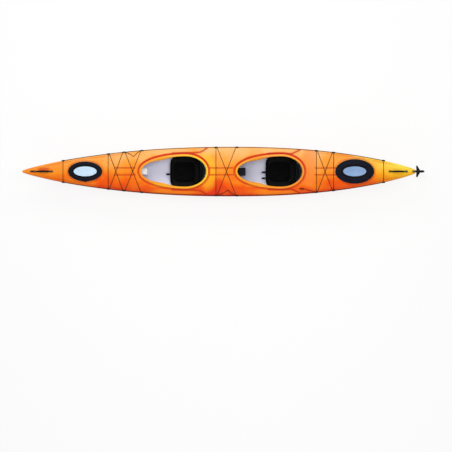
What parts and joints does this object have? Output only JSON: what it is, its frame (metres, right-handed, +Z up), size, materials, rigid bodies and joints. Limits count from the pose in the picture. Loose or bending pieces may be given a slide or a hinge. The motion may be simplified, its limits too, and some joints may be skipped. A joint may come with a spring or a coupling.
{
  "type": "tandem kayak",
  "caption": "Tandem touring kayak with a moulded hull and deck, oval hatches, folding backrests, sliding foot rests, a pedal-steered lifting rudder and a swing-down skeg.",
  "frame": {"origin": "middle of the flat of the keel, at half the hull's length and on its centre line", "axes": "+X to the stern, +Y to starboard, +Z up; the bow lies at -X"},
  "size_m": [5.383, 0.6694, 0.5134],
  "materials": {
    "hull_plastic": "satin moulded polyethylene",
    "deck_plastic": "satin moulded polyethylene",
    "black_plastic": "satin",
    "grey_foam": "closed-cell foam",
    "white_foam": "closed-cell foam",
    "black_foam": "closed-cell foam",
    "padding": "foam under woven cloth",
    "webbing": "woven webbing",
    "rail_metal": "satin",
    "hatch_rubber": "matt",
    "hatch_plate": "satin",
    "cord": "braided cord",
    "handle_rubber": "matt",
    "fin_metal": "black anodised",
    "fin_plastic": "satin",
    "steel": "brushed"
  },
  "bodies": {
    "boat": {"hull_shell": "hull_plastic", "deck_shell": "deck_plastic", "bow_bulkhead": "grey_foam", "stern_bulkhead": "grey_foam", "front_pillar": "white_foam", "mid_pillar": "black_foam", "front_seat_runners": "grey_foam", "front_seat_pan": "black_plastic", "front_seat_ears": "black_plastic", "front_seat_cushion": "padding", "front_seat_strap": "webbing", "front_backrest_pins": "steel", "rear_seat_runners": "grey_foam", "rear_seat_pan": "black_plastic", "rear_seat_ears": "black_plastic", "rear_seat_cushion": "padding", "rear_seat_strap": "webbing", "rear_backrest_pins": "steel", "front_rails": "rail_metal", "pedal_rails": "rail_metal", "deck_fittings": "black_plastic", "fitting_screws": "steel", "perimeter_lines": "cord", "cross_lines": "cord", "fore_bungees": "cord", "mid_bungees": "cord", "aft_bungees": "cord", "bow_handle": "handle_rubber", "stern_handle": "handle_rubber", "handle_screws": "steel", "lift_cleat": "black_plastic", "lift_line": "cord", "rudder_bracket": "fin_metal", "bracket_screws": "steel", "skeg_case": "black_plastic", "skeg_pin": "steel"},
    "front_backrest": {"front_backrest_shell": "black_plastic", "front_backrest_pad": "padding"},
    "rear_backrest": {"rear_backrest_shell": "black_plastic", "rear_backrest_pad": "padding"},
    "front_foot_rest_left": {"front_foot_rest_left": "black_plastic"},
    "front_foot_rest_right": {"front_foot_rest_right": "black_plastic"},
    "rudder_pedal_left": {"rudder_pedal_left": "black_plastic"},
    "rudder_pedal_right": {"rudder_pedal_right": "black_plastic"},
    "front_hatch": {"front_hatch_cover": "hatch_rubber", "front_hatch_plate": "hatch_plate"},
    "rear_hatch": {"rear_hatch_cover": "hatch_rubber", "rear_hatch_plate": "hatch_plate"},
    "rudder_head": {"rudder_yoke": "fin_metal", "rudder_pin": "steel", "rudder_blade_pin": "steel"},
    "rudder_fin": {"rudder_blade": "fin_metal"},
    "skeg": {"skeg_blade": "fin_plastic"}
  },
  "joints": [
    {"name": "front_backrest_fold", "type": "hinge", "parent": "boat", "child": "front_backrest", "pos_m": [-0.33, 0, 0.1], "axis": [0, -1, 0], "range_deg": [0, 95]},
    {"name": "rear_backrest_fold", "type": "hinge", "parent": "boat", "child": "rear_backrest", "pos_m": [0.952, 0, 0.1], "axis": [0, -1, 0], "range_deg": [0, 95]},
    {"name": "front_foot_rest_left_slide", "type": "slide", "parent": "boat", "child": "front_foot_rest_left", "axis": [0.9957, -0.0926, 0], "range_m": [-0.1, 0.1]},
    {"name": "front_foot_rest_right_slide", "type": "slide", "parent": "boat", "child": "front_foot_rest_right", "axis": [0.9957, 0.0926, 0], "range_m": [-0.1, 0.1]},
    {"name": "rudder_pedal_left_slide", "type": "slide", "parent": "boat", "child": "rudder_pedal_left", "axis": [1, 0, 0], "range_m": [-0.046, 0.046]},
    {"name": "rudder_pedal_right_slide", "type": "slide", "parent": "boat", "child": "rudder_pedal_right", "axis": [1, 0, 0], "range_m": [-0.046, 0.046]},
    {"name": "front_hatch_lift", "type": "slide", "parent": "boat", "child": "front_hatch", "axis": [0, 0, 1], "range_m": [0, 0.25]},
    {"name": "rear_hatch_lift", "type": "slide", "parent": "boat", "child": "rear_hatch", "axis": [0, 0, 1], "range_m": [0, 0.25]},
    {"name": "rudder_steer", "type": "hinge", "parent": "boat", "child": "rudder_head", "pos_m": [2.655, 0, 0.316], "axis": [0, 0, 1], "range_deg": [-35, 35]},
    {"name": "rudder_lift", "type": "hinge", "parent": "rudder_head", "child": "rudder_fin", "pos_m": [2.708, 0, 0.34], "axis": [0, -1, 0], "range_deg": [0, 100]},
    {"name": "skeg_swing", "type": "hinge", "parent": "boat", "child": "skeg", "pos_m": [1.768, 0, 0.028], "axis": [0, -1, 0], "range_deg": [0, 25]}
  ],
  "couplings": [
    {"joint": "rudder_pedal_left_slide", "follows": "rudder_steer", "m_per_rad": 0.072},
    {"joint": "rudder_pedal_right_slide", "follows": "rudder_steer", "m_per_rad": -0.072}
  ]
}
